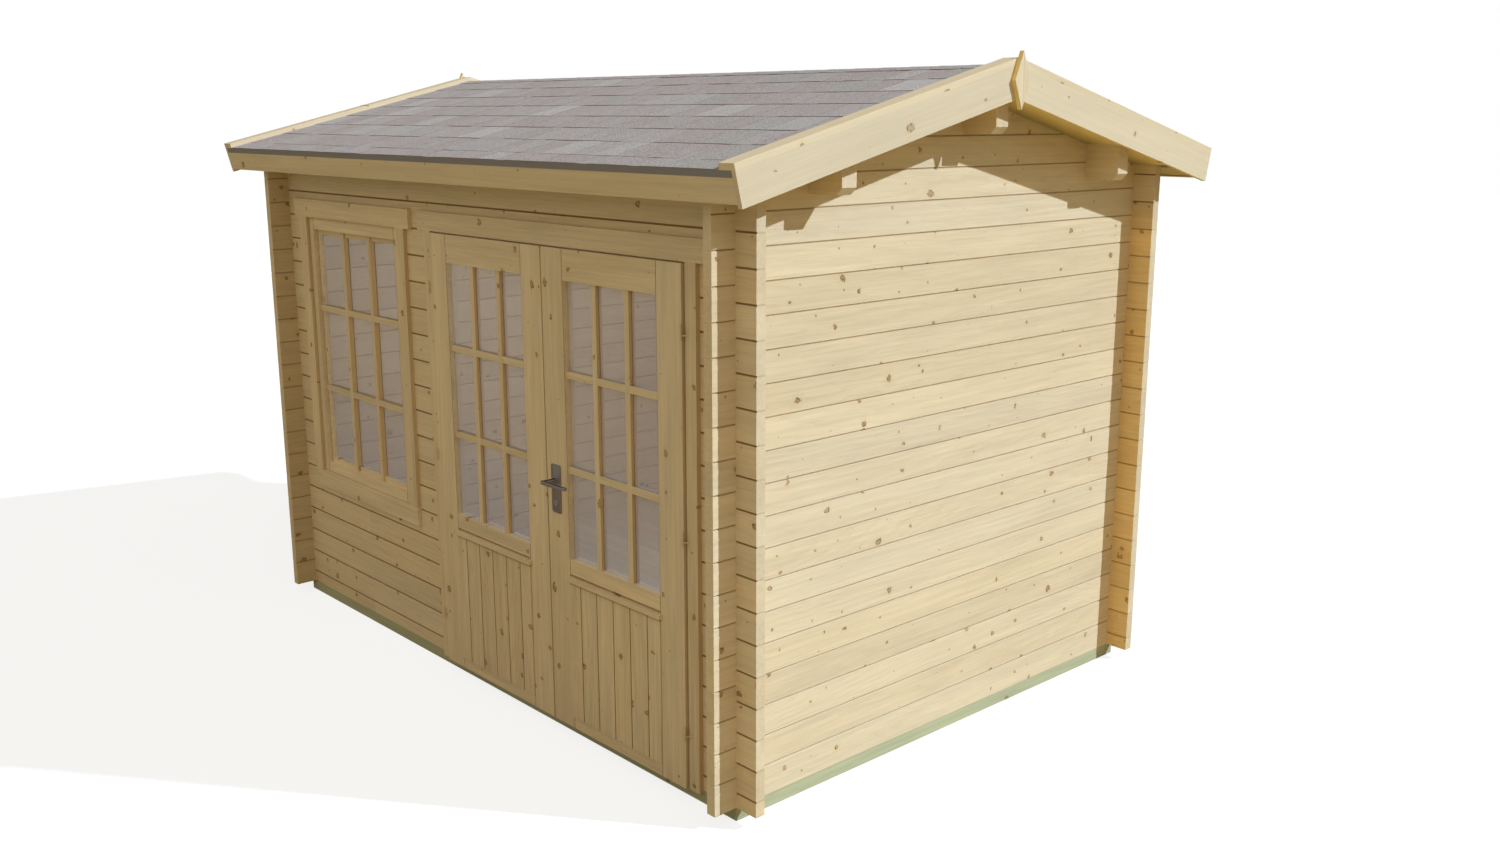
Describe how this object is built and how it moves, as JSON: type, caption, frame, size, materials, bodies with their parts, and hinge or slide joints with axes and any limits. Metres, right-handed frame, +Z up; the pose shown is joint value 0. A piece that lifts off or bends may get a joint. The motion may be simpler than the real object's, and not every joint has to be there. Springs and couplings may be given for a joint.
{
  "type": "garden house",
  "caption": "Gable-roofed garden house of interlocking machined logs, with a glazed double door that swings outward, a paned window and a shingled roof with overhanging eaves.",
  "frame": {"origin": "on the ground, under the middle of the house's footprint", "axes": "+X along the front wall to the viewer's right when facing the door, +Y from the front to the back, +Z up"},
  "size_m": [3.766, 2.692, 2.6231],
  "materials": {
    "log_wood": "planed untreated spruce logs with fine grain and knots",
    "board_wood": "planed untreated spruce boards",
    "joinery_wood": "smooth planed untreated spruce",
    "floor_wood": "tongued untreated spruce boards",
    "treated_timber": "green pressure-treated timber",
    "roof_felt": "mineral-surfaced bitumen shingles, matte and granular",
    "pane": "clear flat glass",
    "hinge_steel": "zinc-plated steel",
    "handle_metal": "dark graphite, satin"
  },
  "bodies": {
    "house": {"foundation_beams": "treated_timber", "floor_joists": "treated_timber", "floor_boards": "floor_wood", "front_wall_left": "log_wood", "front_wall_under_window": "log_wood", "front_wall_middle": "log_wood", "front_wall_right": "log_wood", "front_wall_top": "log_wood", "rear_wall": "log_wood", "left_gable_wall": "log_wood", "right_gable_wall": "log_wood", "purlins": "board_wood", "front_roof_boards": "board_wood", "rear_roof_boards": "board_wood", "front_shingles": "roof_felt", "rear_shingles": "roof_felt", "eave_boards": "board_wood", "verge_soffits": "board_wood", "left_front_barge_board": "board_wood", "left_rear_barge_board": "board_wood", "right_front_barge_board": "board_wood", "right_rear_barge_board": "board_wood", "cover_laths": "board_wood", "finials": "board_wood", "window_casing": "joinery_wood", "window_frame": "joinery_wood", "window_sash": "joinery_wood", "window_bars": "joinery_wood", "window_glass": "pane", "door_frame": "joinery_wood", "door_casing": "joinery_wood", "casing_hinges": "hinge_steel"},
    "left_leaf": {"left_door_frame": "joinery_wood", "left_door_panel": "joinery_wood", "left_door_glass": "pane", "left_door_bars": "joinery_wood", "left_door_drip_bar": "joinery_wood", "left_door_hinges": "hinge_steel"},
    "right_leaf": {"right_door_frame": "joinery_wood", "right_door_panel": "joinery_wood", "right_door_glass": "pane", "right_door_bars": "joinery_wood", "right_door_drip_bar": "joinery_wood", "right_door_hinges": "hinge_steel", "door_handle_plates": "handle_metal"},
    "handle": {"door_handle": "handle_metal"}
  },
  "joints": [
    {"name": "left_door_hinge", "type": "hinge", "parent": "house", "child": "left_leaf", "pos_m": [-0.236, -1.187, 0.98], "axis": [0, 0, -1], "range_deg": [0, 170]},
    {"name": "right_door_hinge", "type": "hinge", "parent": "house", "child": "right_leaf", "pos_m": [1.416, -1.187, 0.98], "axis": [0, 0, 1], "range_deg": [0, 150]},
    {"name": "handle_turn", "type": "hinge", "parent": "right_leaf", "child": "handle", "pos_m": [0.655, -1.156, 1.04], "axis": [0, 1, 0], "range_deg": [0, 40], "stiffness_Nm_per_rad": 2, "springref_deg": -20.05}
  ]
}
